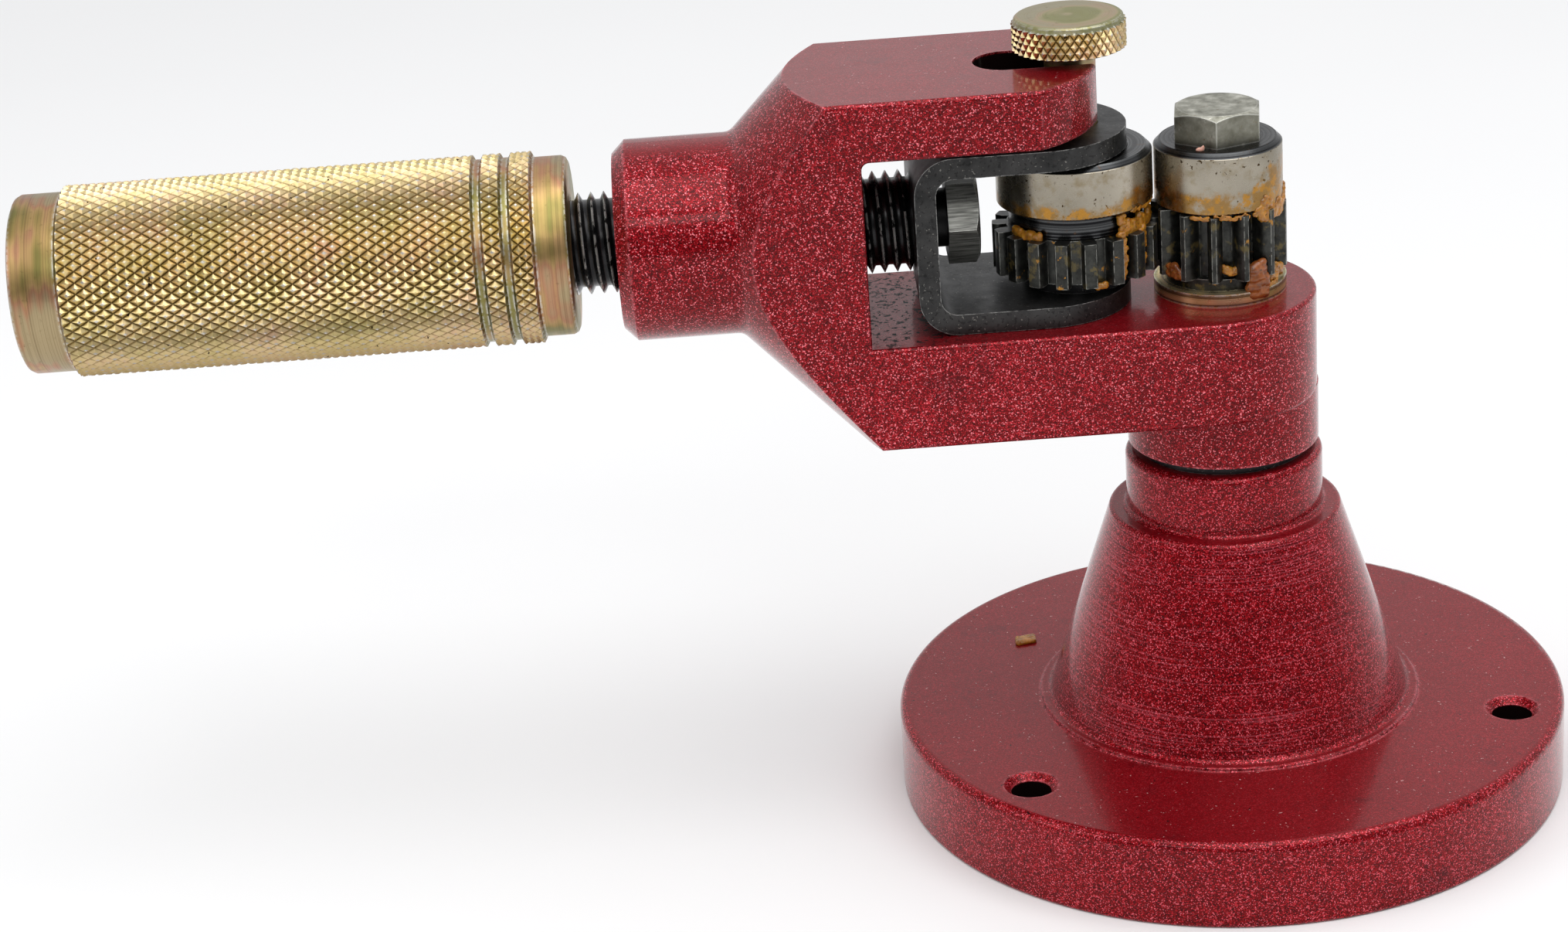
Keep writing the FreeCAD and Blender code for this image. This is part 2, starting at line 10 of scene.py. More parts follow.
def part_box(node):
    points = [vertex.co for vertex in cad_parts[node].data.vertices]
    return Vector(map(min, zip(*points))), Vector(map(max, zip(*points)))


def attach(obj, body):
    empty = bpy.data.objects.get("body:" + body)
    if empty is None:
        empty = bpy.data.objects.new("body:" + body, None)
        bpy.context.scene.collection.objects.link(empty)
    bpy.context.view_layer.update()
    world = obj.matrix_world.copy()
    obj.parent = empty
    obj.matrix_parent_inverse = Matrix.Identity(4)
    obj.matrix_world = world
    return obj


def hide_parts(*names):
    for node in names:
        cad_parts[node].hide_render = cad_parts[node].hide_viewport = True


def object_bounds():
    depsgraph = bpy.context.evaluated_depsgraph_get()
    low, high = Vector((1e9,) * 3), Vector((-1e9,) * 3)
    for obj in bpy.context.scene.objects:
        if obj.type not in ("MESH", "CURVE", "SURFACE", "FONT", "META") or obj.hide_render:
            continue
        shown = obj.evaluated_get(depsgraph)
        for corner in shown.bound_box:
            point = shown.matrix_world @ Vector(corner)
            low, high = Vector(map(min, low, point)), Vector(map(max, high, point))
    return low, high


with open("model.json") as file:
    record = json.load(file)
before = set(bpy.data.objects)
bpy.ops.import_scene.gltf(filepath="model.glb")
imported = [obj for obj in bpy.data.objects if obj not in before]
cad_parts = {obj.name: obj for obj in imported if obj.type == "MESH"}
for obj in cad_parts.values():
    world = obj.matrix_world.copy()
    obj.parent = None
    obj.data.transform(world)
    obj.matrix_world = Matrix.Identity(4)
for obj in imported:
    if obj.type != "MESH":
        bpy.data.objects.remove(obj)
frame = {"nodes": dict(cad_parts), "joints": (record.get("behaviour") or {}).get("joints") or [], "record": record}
cad_low, cad_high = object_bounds()

MM = 0.001
joints = {joint["name"]: joint for joint in frame["joints"]}
screw_height = joints["handle_turn"]["pos_m"][2]
wheel_x = joints["pressure_roller_spin"]["pos_m"][0]


# ---------------------------------------------------------------- material nodes

class Nodes:
    """Short names for the shader nodes that the materials below are made of."""

    def __init__(self, name):
        self.material = bpy.data.materials.new(name)
        self.material.use_nodes = True
        self.tree = self.material.node_tree
        self.tree.nodes.clear()
        self.place = self.add("ShaderNodeTexCoord").outputs["Object"]

    def add(self, kind, settings=None, inputs=None):
        node = self.tree.nodes.new(kind)
        for key, value in (settings or {}).items():
            setattr(node, key, value)
        for key, value in (inputs or {}).items():
            if isinstance(value, bpy.types.NodeSocket):
                self.tree.links.new(value, node.inputs[key])
            else:
                node.inputs[key].default_value = value
        return node

    def math(self, operation, a, b=0.0):
        node = self.add("ShaderNodeMath", {"operation": operation}, {0: a, 1: b})
        return node.outputs[0]

    def times(self, *values):
        """Product of two or more values."""
        product = values[0]
        for value in values[1:]:
            product = self.math("MULTIPLY", product, value)
        return product

    def axes(self, vector=None):
        """The X, Y and Z parts of a vector, or of the place on the object."""
        return self.add("ShaderNodeSeparateXYZ", inputs={0: vector or self.place}).outputs

    def upright(self):
        """How far the surface faces up: 1 on top, 0 on a wall, -1 underneath."""
        return self.axes(self.add("ShaderNodeNewGeometry").outputs["Normal"])[2]

    def noise(self, scale, detail=2.0, roughness=0.5, vector=None):
        inputs = {"Vector": vector or self.place, "Scale": scale, "Detail": detail,
                  "Roughness": roughness}
        return self.add("ShaderNodeTexNoise", inputs=inputs).outputs["Fac"]

    def cells(self, scale):
        """A random value for each cell of a fine pattern."""
        node = self.add("ShaderNodeTexVoronoi", inputs={"Vector": self.place, "Scale": scale})
        return self.add("ShaderNodeSeparateColor", inputs={0: node.outputs["Color"]}).outputs[0]

    def step(self, value, low, high):
        """0 below low, 1 above high, smooth between; low above high turns it round."""
        settings = {"interpolation_type": "SMOOTHSTEP"}
        start, end, flip = (low, high, False) if low < high else (high, low, True)
        inputs = {0: value, 1: start, 2: end, 3: 1.0 if flip else 0.0, 4: 0.0 if flip else 1.0}
        return self.add("ShaderNodeMapRange", settings, inputs).outputs[0]

    def span(self, value, low, high):
        """Maps a 0 to 1 value to the range from low to high."""
        return self.add("ShaderNodeMapRange", inputs={0: value, 3: low, 4: high}).outputs[0]

    def ramp(self, value, stops):
        node = self.add("ShaderNodeValToRGB", inputs={0: value})
        elements = node.color_ramp.elements
        while len(elements) < len(stops):
            elements.new(0.5)
        for element, (position, colour) in zip(elements, stops):
            element.position = position
            element.color = (*colour, 1)
        return node.outputs[0]

    def mix(self, share, a, b):
        """Colour a where share is 0, colour b where it is 1; the node takes them as inputs 6 and 7."""
        node = self.add("ShaderNodeMix", {"data_type": "RGBA"})
        for index, value in ((0, share), (6, a), (7, b)):
            if isinstance(value, bpy.types.NodeSocket):
                self.tree.links.new(value, node.inputs[index])
            else:
                node.inputs[index].default_value = value if index == 0 else (*value, 1)
        return node.outputs[2]

    def bump(self, height, depth, strength=1.0, normal=None):
        inputs = {"Height": height, "Distance": depth, "Strength": strength}
        if normal:
            inputs["Normal"] = normal
        return self.add("ShaderNodeBump", inputs=inputs).outputs[0]

    def round_axis(self, centre, axis):
        """(distance from an axis, distance along it, place scaled to rings about it)."""
        moved = self.add("ShaderNodeVectorMath", {"operation": "SUBTRACT"},
                         {0: self.place, 1: centre}).outputs[0]
        split = self.axes(moved)
        across = [split[i] for i in range(3) if i != axis]
        squares = [self.times(part, part) for part in across]
        radius = self.math("SQRT", self.math("ADD", *squares))
        rings = self.add("ShaderNodeCombineXYZ", inputs={0: radius, 1: split[axis]}).outputs[0]
        return radius, split[axis], rings

    def between(self, value, low, high, blur):
        """1 where low < value < high, fading over blur on the inside."""
        return self.times(self.step(value, low, low + blur), self.step(value, high, high - blur))

    def rubbed_edges(self, width, scale, detail, low, high):
        """Mask of edges, broken up by a noise where it lies between low and high."""
        return self.times(self.edges(width), self.step(self.noise(scale, detail), low, high))

    def edges(self, width):
        """1 on convex and concave edges, 0 on flat ground."""
        soft = self.add("ShaderNodeBevel", {"samples": 4}, {"Radius": width}).outputs[0]
        flat = self.add("ShaderNodeNewGeometry").outputs["Normal"]
        dot = self.add("ShaderNodeVectorMath", {"operation": "DOT_PRODUCT"}, {0: soft, 1: flat})
        return self.step(dot.outputs["Value"], 0.995, 0.90)

    def finish(self, **inputs):
        """The material, with the shader's sockets named by the arguments set or linked."""
        shader = self.add("ShaderNodeBsdfPrincipled")
        for key, value in inputs.items():
            socket = shader.inputs[key.replace("_", " ")]
            if isinstance(value, bpy.types.NodeSocket):
                self.tree.links.new(value, socket)
            elif isinstance(value, tuple):
                socket.default_value = (*value, 1)
            else:
                socket.default_value = value
        output = self.add("ShaderNodeOutputMaterial")
        self.tree.links.new(shader.outputs[0], output.inputs[0])
        return self.material


# ---------------------------------------------------------------- materials

# Flakes per metre, share without one, colour.
SOFT_FLAKES = (6400, 0.885, (0.80, 0.125, 0.165))
CRISP_FLAKES = (5900, 0.900, (0.94, 0.22, 0.26))


def red_paint(name, bright_flakes, rings_between=None, dirt_at=None, shaded_holes=None):
    """Candy red enamel over fine bright flakes.

    bright_flakes is SOFT_FLAKES or CRISP_FLAKES, rings_between gives two heights with turning marks
    between them, dirt_at a point that black flecks lie round, and the last argument a function that marks
    the walls of holes, which are coloured near black as painted shade.
    """
    m = Nodes(name)
    flakes = m.cells(6200)
    cloud = m.noise(40, 3)
    mixed = m.math("ADD", m.times(flakes, 0.75), m.times(cloud, 0.25))
    colour = m.ramp(mixed, [
        (0.12, (0.045, 0.0002, 0.0010)), (0.45, (0.140, 0.0005, 0.0028)), (0.72, (0.29, 0.0012, 0.005)),
        (0.88, (0.60, 0.030, 0.045)),
    ])
    upright = m.upright()
    # Up-facing faces get fewer bright flakes and a plainer red: painted glare of the light from above.
    shown = m.math("MAXIMUM", m.step(upright, 0.995, 0.93), 0.36)
    fineness, gaps, flake_colour = bright_flakes
    bright = m.times(m.step(m.cells(fineness), gaps, gaps + 0.05), shown)
    colour = m.mix(m.times(bright, 0.95), colour, flake_colour)
    colour = m.mix(m.math("SUBTRACT", 1.0, shown), colour, (0.205, 0.0010, 0.0050))
    colour = wear_and_edge_highlight(m, colour, upright)
    gloss = 1.0
    if dirt_at:
        dirt = flecks_round(m, dirt_at, upright)
        colour = m.mix(dirt, colour, (0.006, 0.003, 0.003))
        gloss = m.math("SUBTRACT", 1.0, dirt)
    # Walls of holes coloured near black: painted shade in the holes.
    if shaded_holes:
        colour = m.mix(shaded_holes(m), colour, (0.010, 0.004, 0.004))
    normal = m.bump(flakes, 0.05 * MM, 0.5)
    skin = m.bump(m.noise(800, 3), 0.04 * MM, 0.45)
    if rings_between:
        colour, normal, skin = turning_marks(m, rings_between, colour, normal, skin)
    rough = m.span(m.noise(240, 4), 0.34, 0.46)
    return m.finish(Base_Color=colour, Metallic=0.45, Roughness=rough, Normal=normal, Coat_Normal=skin,
                    Coat_Weight=gloss, Coat_Roughness=0.11, Coat_IOR=1.22, Specular_IOR_Level=0.05)


def wear_and_edge_highlight(m, colour, upright):
    """Smudges, edges rubbed bright with a painted highlight or chipped dark, dark specks, lint on tops."""
    smudge = m.times(m.step(m.noise(130, 5, 0.65), 0.56, 0.74), 0.45)
    colour = m.mix(smudge, colour, (0.045, 0.0015, 0.004))
    edge = m.edges(0.7 * MM)
    # Edges lightened where a noise lets through: wear, and a painted highlight on the rounded edges.
    worn_and_highlit = m.times(edge, m.step(m.noise(900, 4, 0.6), 0.40, 0.54))
    colour = m.mix(m.times(worn_and_highlit, 0.6), colour, (0.74, 0.17, 0.20))
    chips = m.times(edge, m.step(m.noise(640, 3, 0.6), 0.60, 0.63))
    colour = m.mix(chips, colour, (0.018, 0.004, 0.004))
    specks = m.step(m.noise(1500, 1), 0.745, 0.775)
    colour = m.mix(specks, colour, (0.02, 0.002, 0.003))
    lint = m.times(m.step(m.noise(1900, 1), 0.750, 0.775), m.step(upright, 0.75, 0.95))
    return m.mix(m.times(lint, 0.7), colour, (0.70, 0.45, 0.44))


def flecks_round(m, centre, upright):
    """Mask of black flecks on what faces up near a point."""
    away = m.add("ShaderNodeVectorMath", {"operation": "DISTANCE"}, {0: m.place, 1: centre})
    near = m.step(away.outputs["Value"], 24 * MM, 14 * MM)
    return m.times(m.step(m.noise(1150, 3, 0.6), 0.560, 0.575), near, m.step(upright, 0.4, 0.9))


def turning_marks(m, heights, colour, normal, skin):
    """Fine rings left by the lathe between two heights, some of them bright and some dark."""
    _, level, rings = m.round_axis((0, 0, 0), 2)
    inside = m.between(level, *heights, MM)
    fine = m.noise(3100, 1, 0.5, rings)
    arcs = m.noise(75, 3)
    cut = m.times(m.step(m.math("ADD", fine, m.times(arcs, 0.45)), 0.81, 0.88), inside)
    normal = m.bump(m.times(fine, inside), 0.05 * MM, 0.25, normal)
    skin = m.bump(m.times(fine, inside), 0.04 * MM, 0.25, skin)
    colour = m.mix(m.times(cut, 0.26), colour, (0.64, 0.12, 0.16))
    sparse = m.noise(950, 1, 0.4, rings)
    gate = m.step(m.noise(70, 3), 0.54, 0.62)
    dark = m.times(m.step(sparse, 0.66, 0.70), gate, inside)
    colour = m.mix(m.times(dark, 0.6), colour, (0.030, 0.002, 0.004))
    return colour, normal, skin


# Stops of colour ramps for yellow zinc, from olive to copper.
PLAIN_HUES = [
    (0.22, (0.22, 0.195, 0.062)), (0.40, (0.38, 0.265, 0.100)), (0.52, (0.46, 0.295, 0.130)),
    (0.64, (0.44, 0.225, 0.130)), (0.80, (0.39, 0.305, 0.175)),
]
KNURLED_HUES = [
    (0.22, (0.46, 0.405, 0.155)), (0.42, (0.69, 0.55, 0.26)), (0.55, (0.80, 0.61, 0.335)),
    (0.66, (0.76, 0.51, 0.33)), (0.80, (0.71, 0.62, 0.43)),
]
COLLAR_HUES = [
    (0.25, (0.46, 0.39, 0.150)), (0.45, (0.72, 0.57, 0.26)), (0.60, (0.80, 0.58, 0.30)),
    (0.78, (0.68, 0.56, 0.32)),
]
KHAKI_HUES = [
    (0.25, (0.29, 0.28, 0.13)), (0.45, (0.40, 0.345, 0.20)), (0.60, (0.43, 0.33, 0.22)),
    (0.78, (0.38, 0.34, 0.23)),
]


def yellow_zinc(name, centre, axis, hues, roughness, ring_contrast=0.25, metal=1.0):
    """Yellow passivated zinc on turned steel, drifting from olive through gold to copper."""
    m = Nodes(name)
    _, _, rings = m.round_axis(centre, axis)
    tint = m.math("ADD", m.times(m.noise(75, 2), 0.55), m.times(m.noise(330, 2, 0.5, rings), 0.45))
    colour = m.ramp(m.step(tint, 0.33, 0.67), hues)
    smut = m.step(m.noise(900, 4, 0.65), 0.60, 0.76)
    colour = m.mix(m.times(smut, 0.45), colour, (0.10, 0.07, 0.03))
    turning = m.noise(5200, 1, 0.5, rings)
    lines = m.times(m.step(turning, 0.54, 0.64), ring_contrast)
    colour = m.mix(lines, colour, (0.12, 0.08, 0.035))
    grooves = m.times(m.step(m.noise(1700, 2, 0.5, rings), 0.52, 0.60), ring_contrast)
    colour = m.mix(grooves, colour, (0.14, 0.09, 0.04))
    grain = m.rubbed_edges(0.7 * MM, 1500, 3, 0.38, 0.54)
    colour = m.mix(m.times(grain, 0.9), colour, (0.66, 0.66, 0.62))
    normal = m.bump(turning, 0.03 * MM, 0.5)
    rough = m.span(m.noise(500, 4), roughness - 0.06, roughness + 0.16)
    return m.finish(Base_Color=colour, Metallic=metal, Roughness=rough, Normal=normal)


def knurled_zinc(name, centre, axis, tip_radius, depth):
    """Yellow zinc knurling, tips rubbed to grey steel, painted shade in the grooves and on the underside."""
    m = Nodes(name)
    radius, _, _ = m.round_axis(centre, axis)
    valley = m.step(radius, tip_radius - 0.62 * depth, tip_radius - 0.97 * depth)
    tip = m.step(radius, tip_radius - 0.30 * depth, tip_radius - 0.10 * depth)
    tint = m.math("ADD", m.times(m.noise(120, 3), 0.65), m.times(m.noise(1400, 3), 0.35))
    colour = m.ramp(tint, KNURLED_HUES)
    # Grooves darkened towards deep brown: painted shade between the diamonds.
    colour = m.mix(m.times(valley, 0.80), colour, (0.12, 0.075, 0.022))
    rubbed = m.times(tip, m.step(m.noise(700, 3), 0.43, 0.58))
    colour = m.mix(m.times(rubbed, 0.85), colour, (0.52, 0.51, 0.49))
    grime = m.times(m.step(m.noise(420, 5, 0.7), 0.60, 0.74), 0.5)
    colour = m.mix(grime, colour, (0.09, 0.06, 0.028))
    # The lower side darkened: painted shade underneath.
    shade_below = m.step(m.axes()[2], centre[2] - 0.30 * tip_radius, centre[2] - tip_radius)
    colour = m.mix(m.times(shade_below, 0.70), colour, (0.18, 0.110, 0.040))
    nicks = m.step(m.noise(760, 2), 0.715, 0.75)
    colour = m.mix(nicks, colour, (0.045, 0.030, 0.018))
    normal = m.bump(m.noise(4200, 3), 0.04 * MM, 0.5)
    rough = m.span(m.noise(900, 4), 0.24, 0.42)
    return m.finish(Base_Color=colour, Metallic=1.0, Roughness=rough, Normal=normal)


def black_thread(name, crest_radius, depth):
    """Oiled black oxide, rubbed bright along the thread's crests, with a painted highlight there too."""
    m = Nodes(name)
    radius, _, _ = m.round_axis((0, 0, screw_height), 0)
    crest = m.step(radius, crest_radius - 0.36 * depth, crest_radius - 0.14 * depth)
    # Crests lightened where a noise lets through: wear, and a painted highlight along each crest.
    rubbed = m.times(crest, m.step(m.noise(700, 4), 0.38, 0.52))
    dark = m.ramp(m.noise(600, 4), [(0.3, (0.004, 0.004, 0.005)), (0.7, (0.022, 0.021, 0.021))])
    colour = m.mix(m.times(rubbed, 0.9), dark, (0.74, 0.74, 0.71))
    normal = m.bump(m.noise(3600, 3), 0.015 * MM, 0.5)
    rough = m.span(m.noise(800, 4), 0.16, 0.34)
    return m.finish(Base_Color=colour, Metallic=0.7, Roughness=rough, Normal=normal)


def dark_steel(name, dark, light, roughness, edge_colour, speckle=0.5, pitting=0.34, head_x=None):
    """Blackened steel with bright rubbed edges, pits and a little dust.

    Past head_x lies a brighter head with streaks along X, and before it the metal is black.
    """
    m = Nodes(name)
    shade = m.noise(260, 5, 0.6)
    if head_x:
        streaks = m.add("ShaderNodeVectorMath", {"operation": "MULTIPLY"}, {0: m.place, 1: (0.06, 1, 1)})
        shade = m.noise(3600, 3, 0.6, streaks.outputs[0])
    colour = m.ramp(shade, [(0.32, dark), (0.68, light)])
    rubbed = m.rubbed_edges(0.22 * MM, 900, 4, 0.38, 0.58)
    colour = m.mix(m.times(rubbed, 0.8), colour, edge_colour)
    dust = m.times(m.step(m.noise(2400, 2), 0.66, 0.72), speckle)
    colour = m.mix(dust, colour, (0.30, 0.29, 0.26))
    pits = m.step(m.noise(1500, 3), pitting, pitting - 0.03)
    colour = m.mix(m.times(pits, speckle), colour, (0.004, 0.004, 0.004))
    if head_x:
        before_head = m.step(m.axes()[0], head_x + 0.1 * MM, head_x)
        colour = m.mix(before_head, colour, (0.010, 0.010, 0.010))
    normal = m.bump(m.noise(2600, 4), 0.03 * MM, 0.5)
    rough = m.span(m.noise(420, 4), roughness - 0.08, roughness + 0.14)
    return m.finish(Base_Color=colour, Metallic=0.75, Roughness=rough, Normal=normal)


def gear_steel(name):
    """Dark gear steel in a film of old grease, with edges rubbed bright."""
    m = Nodes(name)
    colour = m.ramp(m.noise(500, 5, 0.65), [(0.30, (0.010, 0.010, 0.009)), (0.70, (0.055, 0.056, 0.050))])
    rubbed = m.rubbed_edges(0.25 * MM, 1200, 3, 0.36, 0.56)
    colour = m.mix(m.times(rubbed, 0.75), colour, (0.46, 0.46, 0.42))
    film = m.times(m.step(m.noise(430, 4, 0.6), 0.56, 0.66), 0.75)
    colour = m.mix(film, colour, (0.115, 0.085, 0.022))
    thick = m.step(m.noise(520, 4, 0.6), 0.655, 0.70)
    colour = m.mix(thick, colour, (0.36, 0.17, 0.03))
    metal = m.span(film, 0.75, 0.25)
    normal = m.bump(m.noise(1800, 4), 0.05 * MM, 0.6)
    rough = m.span(m.noise(700, 4), 0.22, 0.44)
    return m.finish(Base_Color=colour, Metallic=metal, Roughness=rough, Normal=normal)


def roller_steel(name, node, film_height, film_rise):
    """Roller with a ground rim and blackened faces, freckled with rust and smeared low down.

    The smear is film_height tall, and taller by film_rise on the side towards +X.
    """
    low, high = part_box(node)
    centre = ((low.x + high.x) / 2, (low.y + high.y) / 2, low.z)
    m = Nodes(name)
    radius, level, rings = m.round_axis(centre, 2)
    outer = (high.x - low.x) / 2
    rim = m.step(radius, outer - 0.12 * MM, outer - 0.05 * MM)
    steel = m.ramp(m.noise(90, 2), [(0.3, (0.235, 0.21, 0.165)), (0.7, (0.42, 0.38, 0.31))])
    haze = m.times(m.step(m.noise(330, 4, 0.65), 0.48, 0.70), 0.55)
    steel = m.mix(haze, steel, (0.19, 0.135, 0.055))
    freckle = m.times(m.step(m.noise(1700, 2), 0.64, 0.68), m.step(m.noise(200, 3), 0.47, 0.56))
    steel = m.mix(freckle, steel, (0.05, 0.03, 0.012))
    wobble = m.times(m.noise(260, 5, 0.7), 5.0 * MM)
    right_side = m.step(m.axes()[0], centre[0] + 0.3 * outer, centre[0] + 0.75 * outer)
    rise = m.times(right_side, film_rise)
    above_film = m.math("SUBTRACT", m.math("SUBTRACT", level, wobble), rise)
    smear = m.step(above_film, film_height, film_height - 1.6 * MM)
    patchy = m.times(smear, m.step(m.noise(420, 4, 0.65), 0.32, 0.54))
    steel = m.mix(m.times(patchy, 0.85), steel, (0.26, 0.135, 0.026))
    clots = m.times(smear, m.step(m.noise(520, 4, 0.65), 0.50, 0.60))
    steel = m.mix(m.times(clots, 0.8), steel, (0.42, 0.20, 0.030))
    turned = m.noise(2600, 1, 0.5, rings)
    black = m.ramp(turned, [(0.40, (0.010, 0.010, 0.011)), (0.60, (0.095, 0.098, 0.100))])
    rust = m.times(m.step(m.noise(700, 4, 0.65), 0.60, 0.70), 0.6)
    black = m.mix(rust, black, (0.075, 0.042, 0.025))
    colour = m.mix(rim, black, steel)
    grinding = m.noise(6500, 1, 0.5, rings)
    normal = m.bump(grinding, 0.012 * MM, 0.5)
    spread = m.span(m.noise(500, 3), 0.20, 0.34)
    return m.finish(Base_Color=colour, Metallic=0.95, Roughness=spread, Normal=normal)


def zinc_bolt(name):
    """Dull grey-green zinc plate on a forged head, with a trace of rust."""
    m = Nodes(name)
    colour = m.ramp(m.noise(420, 5, 0.6), [
        (0.28, (0.13, 0.125, 0.095)), (0.50, (0.33, 0.325, 0.27)), (0.72, (0.60, 0.59, 0.52)),
    ])
    # Faces that don't face up are darkened: painted shade on the sides.
    shaded_sides = m.times(m.step(m.upright(), 0.5, 0.2), 0.6)
    colour = m.mix(shaded_sides, colour, (0.13, 0.125, 0.095))
    rust = m.times(m.step(m.noise(900, 4, 0.7), 0.60, 0.72), 0.7)
    colour = m.mix(rust, colour, (0.16, 0.10, 0.045))
    # Every edge lightened: painted highlight along the edges.
    colour = m.mix(m.times(m.edges(0.35 * MM), 0.8), colour, (0.78, 0.78, 0.72))
    dents = m.step(m.noise(420, 3, 0.6), 0.60, 0.68)
    normal = m.bump(m.noise(1300, 5, 0.6), 0.06 * MM, 0.6, m.bump(dents, 0.07 * MM, 0.5))
    rough = m.span(m.noise(600, 4), 0.34, 0.52)
    return m.finish(Base_Color=colour, Metallic=0.9, Roughness=rough, Normal=normal)


def bronze(name):
    """Oiled bronze."""
    m = Nodes(name)
    colour = m.ramp(m.noise(400, 4), [(0.3, (0.30, 0.17, 0.06)), (0.7, (0.55, 0.36, 0.15))])
    normal = m.bump(m.noise(2400, 3), 0.02 * MM, 0.5)
    rough = m.span(m.noise(600, 3), 0.30, 0.45)
    return m.finish(Base_Color=colour, Metallic=1.0, Roughness=rough, Normal=normal)


def grease(name, thin, thick):
    """Old gear grease: waxy, wet and uneven."""
    m = Nodes(name)
    colour = m.ramp(m.noise(900, 4, 0.6), [(0.32, thick), (0.66, thin)])
    crumbs = m.step(m.noise(2600, 2), 0.66, 0.72)
    colour = m.mix(crumbs, colour, (0.05, 0.03, 0.012))
    normal = m.bump(m.noise(1500, 3), 0.04 * MM, 0.5)
    rough = m.span(m.noise(900, 3), 0.24, 0.42)
    return m.finish(Base_Color=colour, Roughness=rough, Normal=normal, Subsurface_Weight=0.35,
                    Subsurface_Scale=0.6 * MM, Coat_Weight=0.15, Coat_Roughness=0.12)


def pale_floor(name):
    """Almost even off-white."""
    m = Nodes(name)
    colour = m.ramp(m.noise(3, 3), [(0.3, (0.84, 0.84, 0.84)), (0.7, (0.87, 0.87, 0.87))])
    return m.finish(Base_Color=colour, Roughness=0.85)


# ---------------------------------------------------------------- mesh pieces

def add_object(name, data):
    """New object in the scene, for a mesh, a light or a camera."""
    piece = bpy.data.objects.new(name, data)
    bpy.context.scene.collection.objects.link(piece)
    return piece


def applied(piece):
    """Mesh of a piece with its modifiers applied."""
    bpy.context.view_layer.update()
    evaluated = piece.evaluated_get(bpy.context.evaluated_depsgraph_get())
    return bpy.data.meshes.new_from_object(evaluated)


def add_mesh(name, points, faces, materials, sharp_angle=40, choice=None):
    """New object; choice holds one material number for each face."""
    mesh = bpy.data.meshes.new(name)
    mesh.from_pydata(points, [], faces)
    mesh.validate()
    solid = bmesh.new()
    solid.from_mesh(mesh)
    bmesh.ops.recalc_face_normals(solid, faces=solid.faces)
    solid.to_mesh(mesh)
    solid.free()
    mesh.shade_smooth()
    mesh.set_sharp_from_angle(angle=math.radians(sharp_angle))
    for material in materials:
        mesh.materials.append(material)
    if choice:
        mesh.polygons.foreach_set("material_index", choice)
    return add_object(name, mesh)


